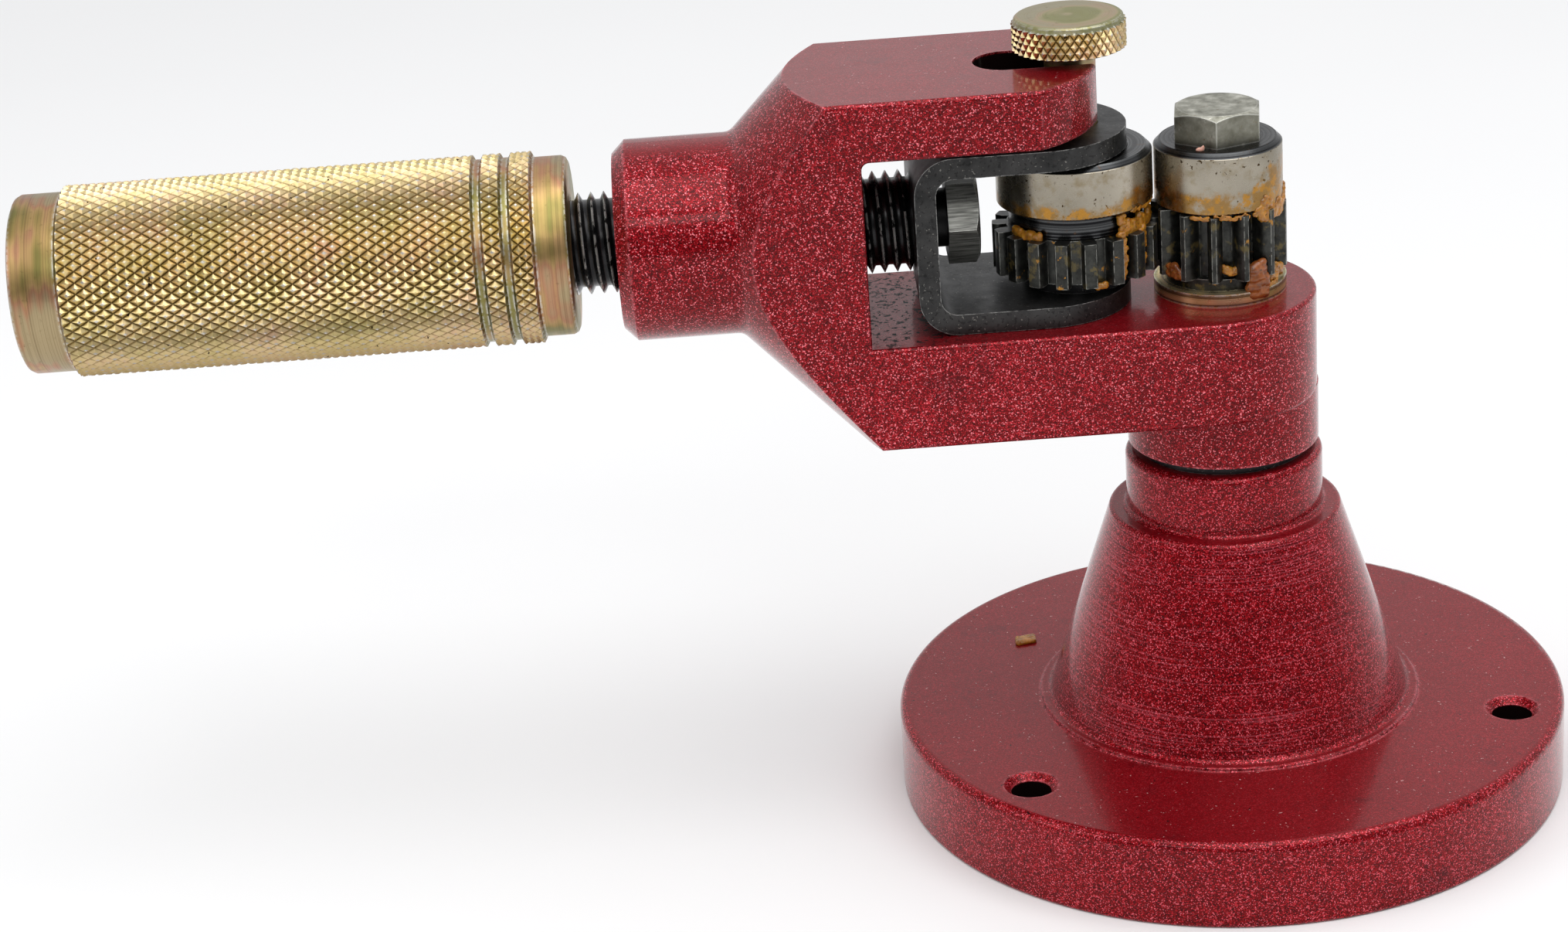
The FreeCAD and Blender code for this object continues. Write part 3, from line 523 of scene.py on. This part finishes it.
class Turning:
    """A turned part built ring by ring, with diamond knurling wherever it is asked for.

    diamonds is their number round the part, flat_share how far a flat tip reaches from its middle in
    half steps, and place(along, angle, radius) gives a point of the part. The knurl is a lattice of
    half steps: where the row and column numbers add up to an even number two grooves cross, and
    elsewhere a diamond stands.
    """

    KNURLED, PLAIN = 0, 1

    def __init__(self, diamonds, place, flat_share):
        self.diamonds = diamonds
        self.place = place
        self.flat_share = flat_share
        self.half_angle = math.pi / diamonds
        self.points = []
        self.faces = []
        self.choice = []
        self.row = 0
        self.last_ring = None

    def point(self, along, column, radius):
        self.points.append(self.place(along, column * self.half_angle, radius))
        return len(self.points) - 1

    def rim(self, along, valley_radius, tip_radius):
        """Ring of a groove crossing and a diamond's two flat corners for each diamond."""
        ring = []
        for number in range(self.diamonds):
            column = 2 * number + self.row % 2
            ring.append(self.point(along, column, valley_radius))
            ring.append(self.point(along, column + 1 - self.flat_share, tip_radius))
            ring.append(self.point(along, column + 1 + self.flat_share, tip_radius))
        return ring

    def add_face(self, material, *corners):
        self.faces.append(corners)
        self.choice.append(material)

    def join(self, ring):
        """Closes the surface between the last ring and this one."""
        if self.last_ring:
            count = len(ring)
            for i in range(count):
                j = (i + 1) % count
                self.add_face(self.PLAIN, self.last_ring[i], self.last_ring[j], ring[j], ring[i])
        self.last_ring = ring

    def smooth(self, along, radius):
        """Carries the plain surface on to a ring."""
        self.join(self.rim(along, radius, radius))

    def cap(self, ring):
        self.add_face(self.PLAIN, *ring)

    def knurl(self, start, end, tip_radius, depth, rows, wobble):
        """Rows of diamonds from start to end; wobble is the unevenness of their tips."""
        valley = tip_radius - depth
        step = (end - start) / rows
        columns = 2 * self.diamonds
        self.join(self.rim(start, valley, tip_radius))
        first_ring = self.last_ring
        first_row = self.row
        crossings = {}
        for level in range(1, rows):
            for number in range(self.diamonds):
                column = 2 * number + (first_row + level) % 2
                crossings[level, column % columns] = self.point(start + level * step, column, valley)
        self.row = first_row + rows
        last_ring = self.rim(end, valley, tip_radius)
        for number in range(self.diamonds):
            crossings[0, (2 * number + first_row % 2) % columns] = first_ring[3 * number]
            crossings[rows, (2 * number + self.row % 2) % columns] = last_ring[3 * number]
        for level in range(rows + 1):
            along = start + level * step
            for number in range(self.diamonds):
                column = 2 * number + (first_row + level + 1) % 2
                radius = tip_radius - random.uniform(0, wobble)
                left = crossings[level, (column - 1) % columns]
                right = crossings[level, (column + 1) % columns]
                below = crossings.get((level - 1, column % columns))
                above = crossings.get((level + 1, column % columns))
                if level == 0:
                    self.half_diamond(first_ring, along, step, column, radius, left, right, above)
                elif level == rows:
                    self.half_diamond(last_ring, along, -step, column, radius, left, right, below)
                else:
                    self.diamond(along, step, column, radius, (left, above, right, below))
        self.last_ring = last_ring

    def diamond(self, along, step, column, radius, corners):
        """Four slopes and a flat tip between four groove crossings."""
        share = self.flat_share
        flats = (self.point(along, column - share, radius),
                 self.point(along + share * step, column, radius),
                 self.point(along, column + share, radius),
                 self.point(along - share * step, column, radius))
        for i in range(4):
            j = (i + 1) % 4
            self.add_face(self.KNURLED, corners[i], corners[j], flats[j], flats[i])
        self.add_face(self.KNURLED, *flats)

    def half_diamond(self, ring, along, inward, column, radius, left, right, beyond):
        """Half a diamond at an end of the knurl; its two flat corners are in the ring there."""
        spot = ring.index(left)
        flat_left = ring[spot + 1]
        flat_right = ring[spot + 2]
        tip = self.point(along + self.flat_share * inward, column, radius)
        self.add_face(self.KNURLED, left, beyond, tip, flat_left)
        self.add_face(self.KNURLED, beyond, right, flat_right, tip)
        self.add_face(self.KNURLED, flat_left, tip, flat_right)


def make_grip():
    """Knurled grip: smooth collar, two short ribs, long barrel and smooth end collar."""
    low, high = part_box("handle_grip")
    tip = (high.y - low.y) / 2
    depth = 0.62 * MM
    collar = tip - 1.0 * MM
    groove = tip - 0.75 * MM
    groove_width = 0.95 * MM
    band_foot = tip - depth - 0.15 * MM
    collar_length = 5.3 * MM
    # Length of each knurled band, its rows of diamonds, and whether a groove follows it.
    bands = ((3.8 * MM, 3, True), (3.35 * MM, 2, True), (64.15 * MM, 48, False))
    front_disc = 9.0 * MM
    end_disc = 4.0 * MM
    chamfer = 0.40 * MM
    slope = 0.12 * MM
    wobble = 0.07 * MM
    rim_steps = ((0.0, collar - 1.0 * MM), (0.3 * MM, collar - 0.35 * MM), (1.0 * MM, collar))

    def place(along, angle, radius):
        return (along, radius * math.sin(angle), screw_height + radius * math.cos(angle))

    grip = Turning(52, place, 0.20)
    x = high.x
    grip.smooth(x, front_disc)
    front = grip.last_ring
    for inset, radius in rim_steps:
        grip.smooth(x - inset, radius)
    x -= collar_length
    grip.smooth(x, collar)
    for length, rows, groove_follows in bands:
        grip.smooth(x, band_foot)
        grip.knurl(x - chamfer, x - length + chamfer, tip, depth, rows, wobble)
        x -= length
        grip.smooth(x, band_foot)
        grip.smooth(x - slope, groove if groove_follows else collar)
        if groove_follows:
            x -= groove_width
            grip.smooth(x + slope, groove)
    for inset, radius in reversed(rim_steps):
        grip.smooth(low.x + inset, radius)
    grip.smooth(low.x, end_disc)
    grip.cap(grip.last_ring)
    grip.cap(front)
    axis_place = (0, 0, screw_height)
    materials = (knurled_zinc("grip_zinc", axis_place, 0, tip, depth),
                 yellow_zinc("grip_plain_zinc", axis_place, 0, PLAIN_HUES, 0.32))
    piece = add_mesh("knurled_grip", grip.points, grip.faces, materials, 28, grip.choice)
    drill_for_screw(piece, "grip_set_screw")
    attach(piece, "screw")
    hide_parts("handle_grip")


def drill_for_screw(piece, node):
    """Cuts the hole that a screw lying along Y sits in, out through the +Y side."""
    low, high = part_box(node)
    middle = (low + high) / 2
    radius = (high.x - low.x) / 2
    run_out = 6 * MM
    depth = high.y - low.y + run_out
    cutter = bmesh.new()
    moved = Matrix.Translation((middle.x, low.y + depth / 2, middle.z))
    along_y = Matrix.Rotation(math.pi / 2, 4, "X")
    bmesh.ops.create_cone(cutter, cap_ends=True, segments=48, radius1=radius, radius2=radius, depth=depth,
                          matrix=moved @ along_y)
    mesh = bpy.data.meshes.new("drill")
    cutter.to_mesh(mesh)
    cutter.free()
    tool = add_object("drill", mesh)
    boolean = piece.modifiers.new("hole", "BOOLEAN")
    boolean.object = tool
    boolean.solver = "EXACT"
    drilled = applied(piece)
    piece.modifiers.clear()
    piece.data = drilled
    bpy.data.objects.remove(tool)


def make_knob():
    """Thumb knob: knurled rim under a turned-off top edge."""
    low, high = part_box("thumb_knob")
    tip = (high.x - low.x) / 2
    depth = 0.50 * MM
    wobble = 0.05 * MM
    bottom_disc = 4.2 * MM
    top_disc = 2.0 * MM

    def place(along, angle, radius):
        return (wheel_x + radius * math.cos(angle), radius * math.sin(angle), along)

    knob = Turning(38, place, 0.22)
    knob.smooth(low.z, bottom_disc)
    bottom = knob.last_ring
    knob.smooth(low.z, tip - 1.0 * MM)
    knob.smooth(low.z + 0.15 * MM, tip - 0.6 * MM)
    knob.knurl(low.z + 0.35 * MM, high.z - 1.0 * MM, tip, depth, 4, wobble)
    for drop, inset in ((0.80, 0.35), (0.30, 0.45), (0.08, 0.70), (0.0, 1.10)):
        knob.smooth(high.z - drop * MM, tip - inset * MM)
    knob.smooth(high.z, top_disc)
    knob.cap(knob.last_ring)
    knob.cap(bottom)
    axis_place = (wheel_x, 0, low.z)
    materials = (knurled_zinc("knob_zinc", axis_place, 2, tip, depth),
                 yellow_zinc("knob_plain_zinc", axis_place, 2, KHAKI_HUES, 0.42, 0.10))
    piece = add_mesh("knurled_knob", knob.points, knob.faces, materials, 28, knob.choice)
    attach(piece, "pin")
    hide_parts("thumb_knob")


def make_thread():
    """The feed screw's right-hand helical thread, cut square at both ends."""
    low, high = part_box("feed_screw")
    crest = (high.z - low.z) / 2
    pitch = 2.0 * MM
    depth = 1.2 * MM
    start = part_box("handle_grip")[1].x - 2.0 * MM
    end = high.x
    thread = thread_surface(start, end, crest, pitch, depth)
    for cut_x, outward in ((start, -1), (end, 1)):
        cut_square(thread, cut_x, outward)
    points = [tuple(vertex.co) for vertex in thread.verts]
    thread.verts.index_update()
    faces = [tuple(vertex.index for vertex in face.verts) for face in thread.faces]
    thread.free()
    piece = add_mesh("feed_thread", points, faces, [black_thread("thread_black", crest, depth)], 34)
    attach(piece, "screw")
    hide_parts("feed_screw")


def thread_surface(start, end, crest, pitch, depth):
    """Helical surface from a pitch or more before start to past end, open at both ends."""
    root = crest - depth
    profile = [(0.0, root), (0.28, root), (0.34, root + 0.06 * depth), (0.60, crest - 0.08 * depth),
               (0.64, crest), (0.68, crest - 0.08 * depth), (0.94, root + 0.06 * depth)]
    turns = int((end - start) / pitch) + 3
    rows = [(turn + share, radius) for turn in range(turns) for share, radius in profile]
    segments = 96
    surface = bmesh.new()
    rings = []
    for turned, radius in rows:
        ring = []
        for segment in range(segments + 1):
            angle = 2 * math.pi * segment / segments
            along = start - pitch + pitch * (turned - segment / segments)
            place = (along, radius * math.sin(angle), screw_height + radius * math.cos(angle))
            ring.append(surface.verts.new(place))
        rings.append(ring)
    for near, far in zip(rings, rings[1:]):
        for i in range(segments):
            surface.faces.new((near[i], near[i + 1], far[i + 1], far[i]))
    bmesh.ops.remove_doubles(surface, verts=surface.verts, dist=1e-7)
    return surface


def cut_square(solid, cut_x, outward):
    """Cuts off what lies beyond a plane across X, on the outward side, and closes the cut."""
    geometry = solid.verts[:] + solid.edges[:] + solid.faces[:]
    bmesh.ops.bisect_plane(solid, geom=geometry, plane_co=(cut_x, 0, 0), plane_no=(outward, 0, 0),
                           clear_outer=True)
    open_edges = [edge for edge in solid.edges if edge.is_boundary
                  and all(abs(vertex.co.x - cut_x) < 1e-7 for vertex in edge.verts)]
    bmesh.ops.holes_fill(solid, edges=open_edges)


def make_blob(name, body, material, lumps, grain=0.13 * MM, seed=0):
    """One smear of grease or dirt: lumps of (centre, radius, stretch) melted together."""
    merged = bmesh.new()
    for centre, radius, stretch in lumps:
        matrix = Matrix.Translation(centre) @ Matrix.Diagonal((*(radius * s for s in stretch), 1))
        bmesh.ops.create_icosphere(merged, subdivisions=3, radius=1, matrix=matrix)
    unevenness = 0.16
    shift = Vector((seed * 3.1, seed * 1.7, 0))
    for vertex in merged.verts:
        lump = noise.noise_vector(vertex.co * 1000 + shift)
        vertex.co += lump * unevenness * MM
    rough = bpy.data.meshes.new(name + "_rough")
    merged.to_mesh(rough)
    merged.free()
    lumpy = add_object(name + "_rough", rough)
    remesh = lumpy.modifiers.new("melt", "REMESH")
    remesh.mode = "VOXEL"
    remesh.voxel_size = grain
    soften = lumpy.modifiers.new("soften", "SMOOTH")
    soften.factor = 0.6
    soften.iterations = 6
    mesh = applied(lumpy)
    mesh.name = name
    bpy.data.objects.remove(lumpy)
    mesh.shade_smooth()
    mesh.materials.clear()
    mesh.materials.append(material)
    piece = add_object(name, mesh)
    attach(piece, body)


def around(centre_x, radius, degrees, height):
    """Point on a circle about an upright axis; degrees from -Y, turning towards +X."""
    angle = math.radians(degrees)
    return Vector((centre_x + radius * math.sin(angle), -radius * math.cos(angle), height))


def smear(name, body, material, axis_x, radius, angles, levels, size, count, ragged=0.7):
    """Paste on a round part, in a range of angles and heights; ragged is how far its top edge dips."""
    lumps = []
    low, high = levels
    start = random.uniform(0, 10)
    for _ in range(count):
        degrees = random.uniform(*angles)
        # Two waves of different lengths round the part, from 0 to 1.
        crest = 0.5 + 0.5 * math.sin(start + degrees * 0.21) * math.cos(start + degrees * 0.083)
        share = random.random() * (1 - ragged * crest)
        lump = size * random.uniform(0.65, 1.15)
        height = low + (high - low) * share
        lumps.append((around(axis_x, radius - 0.40 * lump, degrees, height), lump, (1.15, 1.15, 1.0)))
    make_blob(name, body, material, lumps, seed=len(lumps) + radius * 1000)


def make_grease():
    """Smears of old grease on the gears and rollers, a dried dab on the flange and a crumb."""
    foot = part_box("spacer_collar")[1].z
    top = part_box("fixed_gear")[1].z
    wheel_foot, wheel_top = (corner.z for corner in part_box("pressure_gear"))
    orange = grease("grease_orange", (0.50, 0.215, 0.018), (0.22, 0.085, 0.006))
    brown = grease("grease_brown", (0.34, 0.100, 0.018), (0.15, 0.040, 0.008))
    rim = 10.1 * MM
    wheel_rim = 12.0 * MM

    # paste is all that smear takes from radius on.
    def on_gear(name, material, *paste):
        smear("grease_" + name, "base", material, 0, *paste)

    def on_wheel(name, *paste):
        smear("grease_wheel_" + name, "pressure_wheel", orange, wheel_x, *paste)

    on_gear("drip", brown, rim, (21, 36), (foot - 1.0 * MM, foot + 4.6 * MM), 0.85 * MM, 90, 0.3)
    on_gear("ledge", orange, rim, (28, 90), (top - 1.6 * MM, top + 2.4 * MM), 0.42 * MM, 230)
    on_gear("ledge_left", orange, rim, (-34, 28), (top - 0.5 * MM, top + 0.5 * MM), 0.26 * MM, 90)
    on_gear("tooth_feet", orange, 9.9 * MM, (42, 80), (foot + 0.8 * MM, foot + 4.2 * MM), 0.46 * MM, 90)
    on_gear("collar", orange, rim, (34, 54), (foot - 0.6 * MM, foot + 0.9 * MM), 0.36 * MM, 30)
    on_gear("left_tooth", brown, 9.9 * MM, (-64, -40), (foot + 2.0 * MM, foot + 4.2 * MM), 0.52 * MM, 40)
    on_gear("gap", orange, 9.0 * MM, (-4, 12), (foot + 2.6 * MM, foot + 5.0 * MM), 0.40 * MM, 24)
    on_wheel("left", 11.3 * MM, (-64, -34), (wheel_top - 0.1 * MM, wheel_top + 1.0 * MM), 0.55 * MM, 50,
             0.3)
    on_wheel("right", 11.5 * MM, (30, 84), (wheel_top - 0.3 * MM, wheel_top + 3.4 * MM), 0.46 * MM, 190)
    on_wheel("rim", wheel_rim, (40, 80), (wheel_top + 3.4 * MM, wheel_top + 4.6 * MM), 0.34 * MM, 60)
    on_wheel("streak", wheel_rim, (28, 34), (wheel_foot + 0.4 * MM, wheel_top + 0.6 * MM), 0.40 * MM, 70,
             0.0)
    on_wheel("streak_right", wheel_rim, (50, 57), (wheel_foot + 1.4 * MM, wheel_top + 0.4 * MM), 0.40 * MM,
             60, 0.0)
    on_wheel("drip", 11.9 * MM, (9, 17), (wheel_foot - 0.5 * MM, wheel_foot + 1.2 * MM), 0.42 * MM, 20)
    make_dab(orange)
    make_crumb()


def make_crumb():
    """Pink crumb that lies on the fixed roller's top."""
    material = grease("crumb_pink", (0.62, 0.36, 0.28), (0.45, 0.22, 0.16))
    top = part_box("fixed_roller")[1].z
    lumps = [(around(0, 8.3 * MM, -27, top + 0.25 * MM), 0.50 * MM, (1.2, 0.8, 0.7)),
             (around(0, 8.0 * MM, -24, top + 0.40 * MM), 0.36 * MM, (0.8, 0.8, 1.4))]
    make_blob("crumb", "base", material, lumps, grain=0.10 * MM, seed=8)


def make_dab(material):
    """Flat flake of dried grease on the flange, beside the cone's foot."""
    x, y = -31.6, 21.6
    top = surface_height(Vector((x * MM, y * MM, 0)))
    lumps = []
    for column in range(5):
        for row in range(3):
            centre = Vector((x + 0.62 * (column - 2), y + 0.8 * (row - 1) + 0.1 * column, 0)) * MM
            centre.z = top + 0.25 * MM
            lumps.append((centre, 0.62 * MM, (1.0, 1.0, 0.8)))
    make_blob("dirt_dab", "base", material, lumps, grain=0.12 * MM, seed=7)


def surface_height(point):
    """Height of the pedestal's top surface straight above a point on its underside."""
    pedestal = frame["nodes"]["base_pedestal"]
    above = Vector((point.x, point.y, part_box("base_pedestal")[1].z + MM))
    to_local = pedestal.matrix_world.inverted()
    _, place, _, _ = pedestal.ray_cast(to_local @ above, to_local.to_3x3() @ Vector((0, 0, -1)))
    return (pedestal.matrix_world @ place).z


# ---------------------------------------------------------------- CAD nodes

def paint_node(node, material):
    """Gives a CAD node its only material."""
    piece = frame["nodes"][node]
    piece.data.materials.clear()
    piece.data.materials.append(material)


def bolt_hole_walls(m):
    """Mask of the pedestal's fixing holes, below their countersinks."""
    mount = next(mount for mount in frame["record"]["mounts"] if mount["name"] == "bench_bolts")
    circle = mount["dims"]["pcd_mm"] / 2 * MM
    reach = mount["dims"]["hole_r_mm"] * MM + 0.1 * MM
    countersink_depth = 1.2 * MM
    on_flange = Vector((0.9 * circle, 0, 0))
    sink = surface_height(on_flange) - countersink_depth
    radius, level, _ = m.round_axis((0, 0, 0), 2)
    ring = m.between(radius, circle - reach, circle + reach, 0.02 * MM)
    return m.times(ring, m.step(level, sink, sink - 0.1 * MM))


def slot_walls(m):
    """Mask of the walls of the slot that the axle pin's stem slides in."""
    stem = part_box("axle_pin")
    reach = (stem[1].y - stem[0].y) / 2 + 1.5 * MM
    along, across, level = m.axes()
    slot_end = wheel_x - 20 * MM
    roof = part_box("arm_frame")[1].z
    inside = m.between(across, -reach, reach, 0.02 * MM)
    levels = m.between(level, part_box("yoke")[1].z + MM, roof - 0.3 * MM, 0.1 * MM)
    return m.times(inside, levels, m.step(along, slot_end, slot_end + 2 * MM))


def paint_cad():
    """Materials of the CAD nodes, apart from the three that a finer piece replaces."""
    origin = (0, 0, 0)
    wheel = (wheel_x, 0, 0)
    cone_foot = 15.5 * MM
    cone_top = 0.825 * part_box("base_pedestal")[1].z
    pedestal = red_paint("pedestal_paint", SOFT_FLAKES, (cone_foot, cone_top), shaded_holes=bolt_hole_walls)
    paint_node("base_pedestal", pedestal)
    yoke_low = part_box("yoke")[0]
    beside_yoke = (yoke_low.x - 4 * MM, 0, yoke_low.z)
    paint_node("arm_frame", red_paint("arm_paint", CRISP_FLAKES, dirt_at=beside_yoke, shaded_holes=slot_walls))
    paint_node("spacer_collar", yellow_zinc("collar_zinc", origin, 2, COLLAR_HUES, 0.24, 0.9, 0.85))
    paint_node("axle_pin", yellow_zinc("pin_zinc", wheel, 2, PLAIN_HUES, 0.34))
    paint_node("fixed_gear", gear_steel("fixed_gear_steel"))
    paint_node("pressure_gear", gear_steel("pressure_gear_steel"))
    paint_node("fixed_roller", roller_steel("fixed_rim", "fixed_roller", 2.0 * MM, 3.4 * MM))
    paint_node("pressure_roller", roller_steel("pressure_rim", "pressure_roller", 3.6 * MM, 1.4 * MM))
    paint_node("roller_bolt", zinc_bolt("bolt_zinc"))
    plate = dark_steel("plate_black", (0.022, 0.022, 0.022), (0.052, 0.051, 0.050), 0.40,
                       (0.50, 0.50, 0.48), pitting=0.42)
    paint_node("yoke", plate)
    head_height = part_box("roller_bolt")[1].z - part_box("fixed_roller")[1].z
    head_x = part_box("retaining_bolt")[1].x - head_height
    bolt = dark_steel("bolt_black", (0.075, 0.075, 0.069), (0.34, 0.34, 0.31), 0.36,
                      (0.70, 0.70, 0.66), 0.2, head_x=head_x)
    paint_node("retaining_bolt", bolt)
    black = dark_steel("black_oxide", (0.012, 0.012, 0.013), (0.035, 0.035, 0.036), 0.38,
                       (0.30, 0.30, 0.29))
    for node in ("spindle", "spindle_key", "thrust_washer", "gear_key", "lower_roller_washer",
                 "upper_roller_washer", "roller_dowels", "grip_set_screw"):
        paint_node(node, black)
    plated = zinc_bolt("nut_zinc")
    for node in ("spindle_nut", "spindle_washer"):
        paint_node(node, plated)
    oiled = bronze("bush_bronze")
    for node in ("upper_bush", "lower_bush", "pressure_bush"):
        paint_node(node, oiled)


# ---------------------------------------------------------------- floor, light and camera

def make_stage():
    """A floor 12 m square."""
    half = 6.0
    corners = [(-half, -half, 0), (half, -half, 0), (half, half, 0), (-half, half, 0)]
    floor = add_mesh("floor", corners, [(0, 1, 2, 3)], [pale_floor("floor_pale")])


def add_light(name, place, target, size, power):
    """Soft box facing a point."""
    light = bpy.data.lights.new(name, "AREA")
    light.shape = "RECTANGLE"
    light.size, light.size_y = size
    light.energy = power
    lamp = add_object(name, light)
    lamp.location = place
    lamp.rotation_euler = (target - place).to_track_quat("-Z", "Y").to_euler()


def make_light():
    """A pale sky, brightest overhead and behind, with three soft boxes."""
    world = bpy.data.worlds.new("studio")
    world.use_nodes = True
    tree = world.node_tree
    direction = tree.nodes.new("ShaderNodeVectorMath")
    direction.operation = "DOT_PRODUCT"
    tree.links.new(tree.nodes.new("ShaderNodeTexCoord").outputs["Generated"], direction.inputs[0])
    direction.inputs[1].default_value = (0.10, 0.40, 0.91)
    glow = tree.nodes.new("ShaderNodeMapRange")
    for socket, value in (("From Min", -0.4), ("From Max", 1.0), ("To Min", 0.12), ("To Max", 1.0)):
        glow.inputs[socket].default_value = value
    tree.links.new(direction.outputs["Value"], glow.inputs[0])
    tree.links.new(glow.outputs[0], tree.nodes["Background"].inputs[1])
    tree.nodes["Background"].inputs[0].default_value = (0.98, 0.985, 1.0, 1)
    bpy.context.scene.world = world
    middle = (cad_low + cad_high) / 2
    add_light("key", middle + Vector((0.25, -0.30, 1.05)), middle, (1.1, 0.9), 7.2)
    add_light("fill", middle + Vector((-0.80, -0.30, 0.50)), middle, (0.5, 0.6), 1.5)
    add_light("strip", middle + Vector((-0.10, -0.75, 0.62)), middle, (0.60, 0.16), 1.15)


def make_camera():
    """Camera 22.7 degrees above the horizon, looking along +Y and rolled by 4.2 degrees."""
    elevation = math.radians(22.68)
    roll = math.radians(4.215)
    place = Vector((-0.07084, -0.50308, 0.26965))
    forward = Vector((0, math.cos(elevation), -math.sin(elevation)))
    level_up = Vector((0, math.sin(elevation), math.cos(elevation)))
    right = Vector((math.cos(roll), 0, 0)) - math.sin(roll) * level_up
    up = right.cross(forward)
    data = bpy.data.cameras.new("camera")
    data.lens = 77.8
    data.sensor_width = 36
    camera = add_object("camera", data)
    camera.matrix_world = Matrix((
        (right.x, up.x, -forward.x, place.x), (right.y, up.y, -forward.y, place.y),
        (right.z, up.z, -forward.z, place.z), (0, 0, 0, 1),
    ))
    bpy.context.scene.camera = camera


random.seed(7)
noise.seed_set(7)
make_camera()
make_stage()
make_light()
paint_cad()
make_grip()
make_knob()
make_thread()
make_grease()
bpy.context.scene.view_settings.view_transform = "Standard"
